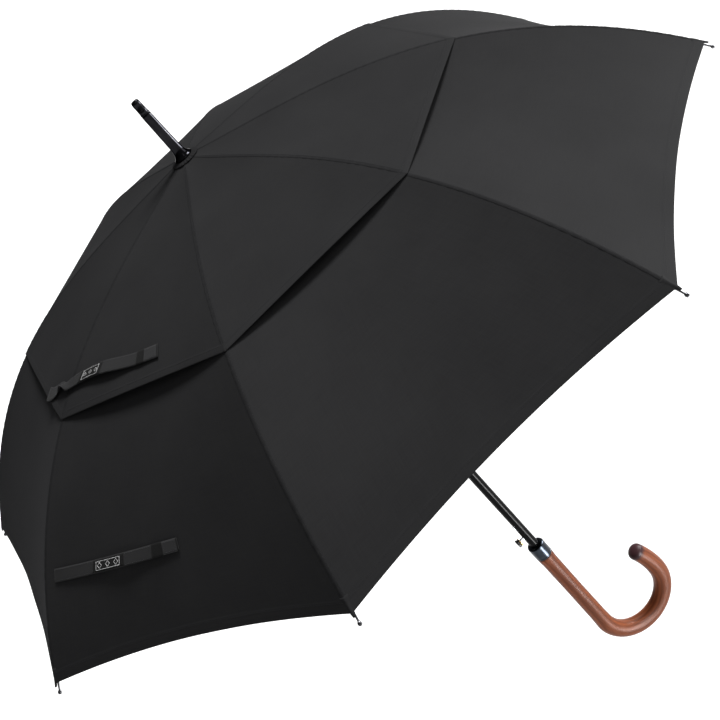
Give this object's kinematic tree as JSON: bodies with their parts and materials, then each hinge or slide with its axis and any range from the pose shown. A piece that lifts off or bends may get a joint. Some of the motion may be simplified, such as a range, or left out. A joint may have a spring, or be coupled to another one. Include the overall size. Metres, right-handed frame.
{
  "type": "stick umbrella",
  "caption": "Open stick umbrella with a vented layered canopy, folding ribs on a sliding runner, a push-button catch and a bentwood crook handle.",
  "frame": {"origin": "on the shaft's axis at the middle of the grip, where a hand holds the handle", "axes": "+Z along the shaft from the handle to the ferrule; the crook lies in the XZ plane and hooks round on the +X side; the button is on the -X side"},
  "size_m": [1.047, 1.047, 1.1337],
  "materials": {
    "canopy_fabric": "fine plain-weave pongee, matte with a faint sheen",
    "strap_fabric": "the canopy cloth, folded and stitched",
    "shaft_black": "gloss black lacquer",
    "ferrule_metal": "black chrome",
    "collar_metal": "polished gunmetal plate",
    "washer_black": "soft black washer",
    "notch_plastic": "black moulded plastic",
    "spring_steel": "plated spring wire",
    "catch_steel": "nickel-plated strip",
    "rib_metal": "black enamelled steel channel",
    "tip_metal": "black-nickel end fitting",
    "button_black": "gloss black",
    "button_brass": "polished rim",
    "handle_wood": "red-brown lacquered bentwood, satin"
  },
  "bodies": {
    "frame": {"shaft": "shaft_black", "ferrule": "ferrule_metal", "ferrule_cap": "ferrule_metal", "top_washer": "washer_black", "crown": "notch_plastic", "crown_wire": "spring_steel", "collar": "collar_metal", "handle": "handle_wood", "opening_spring": "spring_steel"},
    "runner": {"runner": "notch_plastic", "runner_wire": "spring_steel"},
    "release": {"release_lever": "catch_steel", "button_knob": "button_black", "button_rim": "button_brass"},
    "top_catch": {"top_catch": "catch_steel"},
    "rib_1": {"rib_1": "rib_metal", "rib_tip_1": "tip_metal", "lower_gore_1": "canopy_fabric", "upper_gore_1": "canopy_fabric"},
    "stretcher_1": {"stretcher_1": "rib_metal"},
    "rib_2": {"rib_2": "rib_metal", "rib_tip_2": "tip_metal", "lower_gore_2": "canopy_fabric", "upper_gore_2": "canopy_fabric"},
    "stretcher_2": {"stretcher_2": "rib_metal"},
    "rib_3": {"rib_3": "rib_metal", "rib_tip_3": "tip_metal", "lower_gore_3": "canopy_fabric", "upper_gore_3": "canopy_fabric"},
    "stretcher_3": {"stretcher_3": "rib_metal"},
    "rib_4": {"rib_4": "rib_metal", "rib_tip_4": "tip_metal", "lower_gore_4": "canopy_fabric", "upper_gore_4": "canopy_fabric"},
    "stretcher_4": {"stretcher_4": "rib_metal"},
    "rib_5": {"rib_5": "rib_metal", "rib_tip_5": "tip_metal", "lower_gore_5": "canopy_fabric", "upper_gore_5": "canopy_fabric"},
    "stretcher_5": {"stretcher_5": "rib_metal"},
    "rib_6": {"rib_6": "rib_metal", "rib_tip_6": "tip_metal", "lower_gore_6": "canopy_fabric", "upper_gore_6": "canopy_fabric"},
    "stretcher_6": {"stretcher_6": "rib_metal"},
    "rib_7": {"rib_7": "rib_metal", "rib_tip_7": "tip_metal", "lower_gore_7": "canopy_fabric", "upper_gore_7": "canopy_fabric", "strap_upper": "strap_fabric", "strap_lower": "strap_fabric"},
    "stretcher_7": {"stretcher_7": "rib_metal"},
    "rib_8": {"rib_8": "rib_metal", "rib_tip_8": "tip_metal", "lower_gore_8": "canopy_fabric", "upper_gore_8": "canopy_fabric"},
    "stretcher_8": {"stretcher_8": "rib_metal"}
  },
  "joints": [
    {"name": "runner_slide", "type": "slide", "parent": "frame", "child": "runner", "axis": [0, 0, 1], "range_m": [-0.49582, 0], "stiffness_N_per_m": 120, "springref_m": 0.08, "deforming": ["opening_spring"]},
    {"name": "release_press", "type": "hinge", "parent": "frame", "child": "release", "pos_m": [-0.0047, 0, 0.085], "axis": [0, 1, 0], "range_deg": [0, 4.5], "stiffness_Nm_per_rad": 0.5},
    {"name": "top_catch_press", "type": "hinge", "parent": "frame", "child": "top_catch", "pos_m": [-0.0047, 0, 0.59684], "axis": [0, 1, 0], "range_deg": [0, 6], "stiffness_Nm_per_rad": 0.3},
    {"name": "rib_hinge_1", "type": "hinge", "parent": "frame", "child": "rib_1", "pos_m": [0.00471, -0.01136, 0.873], "axis": [0.9239, 0.3827, 0], "range_deg": [0, 62.05], "deforming": ["lower_gore_1", "upper_gore_1"]},
    {"name": "stretcher_hinge_1", "type": "hinge", "parent": "rib_1", "child": "stretcher_1", "pos_m": [0.13249, -0.31986, 0.78457], "axis": [0.9239, 0.3827, 0], "range_deg": [-124.1, 0]},
    {"name": "rib_hinge_2", "type": "hinge", "parent": "frame", "child": "rib_2", "pos_m": [0.01136, -0.00471, 0.873], "axis": [0.3827, 0.9239, 0], "range_deg": [0, 62.05], "deforming": ["lower_gore_2", "upper_gore_2"]},
    {"name": "stretcher_hinge_2", "type": "hinge", "parent": "rib_2", "child": "stretcher_2", "pos_m": [0.31986, -0.13249, 0.78457], "axis": [0.3827, 0.9239, 0], "range_deg": [-124.1, 0]},
    {"name": "rib_hinge_3", "type": "hinge", "parent": "frame", "child": "rib_3", "pos_m": [0.01136, 0.00471, 0.873], "axis": [-0.3827, 0.9239, 0], "range_deg": [0, 62.05], "deforming": ["lower_gore_3", "upper_gore_3"]},
    {"name": "stretcher_hinge_3", "type": "hinge", "parent": "rib_3", "child": "stretcher_3", "pos_m": [0.31986, 0.13249, 0.78457], "axis": [-0.3827, 0.9239, 0], "range_deg": [-124.1, 0]},
    {"name": "rib_hinge_4", "type": "hinge", "parent": "frame", "child": "rib_4", "pos_m": [0.00471, 0.01136, 0.873], "axis": [-0.9239, 0.3827, 0], "range_deg": [0, 62.05], "deforming": ["lower_gore_4", "upper_gore_4"]},
    {"name": "stretcher_hinge_4", "type": "hinge", "parent": "rib_4", "child": "stretcher_4", "pos_m": [0.13249, 0.31986, 0.78457], "axis": [-0.9239, 0.3827, 0], "range_deg": [-124.1, 0]},
    {"name": "rib_hinge_5", "type": "hinge", "parent": "frame", "child": "rib_5", "pos_m": [-0.00471, 0.01136, 0.873], "axis": [-0.9239, -0.3827, 0], "range_deg": [0, 62.05], "deforming": ["lower_gore_5", "upper_gore_5"]},
    {"name": "stretcher_hinge_5", "type": "hinge", "parent": "rib_5", "child": "stretcher_5", "pos_m": [-0.13249, 0.31986, 0.78457], "axis": [-0.9239, -0.3827, 0], "range_deg": [-124.1, 0]},
    {"name": "rib_hinge_6", "type": "hinge", "parent": "frame", "child": "rib_6", "pos_m": [-0.01136, 0.00471, 0.873], "axis": [-0.3827, -0.9239, 0], "range_deg": [0, 62.05], "deforming": ["lower_gore_6", "upper_gore_6"]},
    {"name": "stretcher_hinge_6", "type": "hinge", "parent": "rib_6", "child": "stretcher_6", "pos_m": [-0.31986, 0.13249, 0.78457], "axis": [-0.3827, -0.9239, 0], "range_deg": [-124.1, 0]},
    {"name": "rib_hinge_7", "type": "hinge", "parent": "frame", "child": "rib_7", "pos_m": [-0.01136, -0.00471, 0.873], "axis": [0.3827, -0.9239, 0], "range_deg": [0, 62.05], "deforming": ["lower_gore_7", "upper_gore_7", "strap_upper", "strap_lower"]},
    {"name": "stretcher_hinge_7", "type": "hinge", "parent": "rib_7", "child": "stretcher_7", "pos_m": [-0.31986, -0.13249, 0.78457], "axis": [0.3827, -0.9239, 0], "range_deg": [-124.1, 0]},
    {"name": "rib_hinge_8", "type": "hinge", "parent": "frame", "child": "rib_8", "pos_m": [-0.00471, -0.01136, 0.873], "axis": [0.9239, -0.3827, 0], "range_deg": [0, 62.05], "deforming": ["lower_gore_8", "upper_gore_8"]},
    {"name": "stretcher_hinge_8", "type": "hinge", "parent": "rib_8", "child": "stretcher_8", "pos_m": [-0.13249, -0.31986, 0.78457], "axis": [0.9239, -0.3827, 0], "range_deg": [-124.1, 0]}
  ],
  "couplings": [
    {"joint": "rib_hinge_1", "follows": "runner_slide", "rad_per_m": -2.1825},
    {"joint": "stretcher_hinge_1", "follows": "runner_slide", "rad_per_m": 4.3649},
    {"joint": "rib_hinge_2", "follows": "runner_slide", "rad_per_m": -2.1825},
    {"joint": "stretcher_hinge_2", "follows": "runner_slide", "rad_per_m": 4.3649},
    {"joint": "rib_hinge_3", "follows": "runner_slide", "rad_per_m": -2.1825},
    {"joint": "stretcher_hinge_3", "follows": "runner_slide", "rad_per_m": 4.3649},
    {"joint": "rib_hinge_4", "follows": "runner_slide", "rad_per_m": -2.1825},
    {"joint": "stretcher_hinge_4", "follows": "runner_slide", "rad_per_m": 4.3649},
    {"joint": "rib_hinge_5", "follows": "runner_slide", "rad_per_m": -2.1825},
    {"joint": "stretcher_hinge_5", "follows": "runner_slide", "rad_per_m": 4.3649},
    {"joint": "rib_hinge_6", "follows": "runner_slide", "rad_per_m": -2.1825},
    {"joint": "stretcher_hinge_6", "follows": "runner_slide", "rad_per_m": 4.3649},
    {"joint": "rib_hinge_7", "follows": "runner_slide", "rad_per_m": -2.1825},
    {"joint": "stretcher_hinge_7", "follows": "runner_slide", "rad_per_m": 4.3649},
    {"joint": "rib_hinge_8", "follows": "runner_slide", "rad_per_m": -2.1825},
    {"joint": "stretcher_hinge_8", "follows": "runner_slide", "rad_per_m": 4.3649}
  ]
}
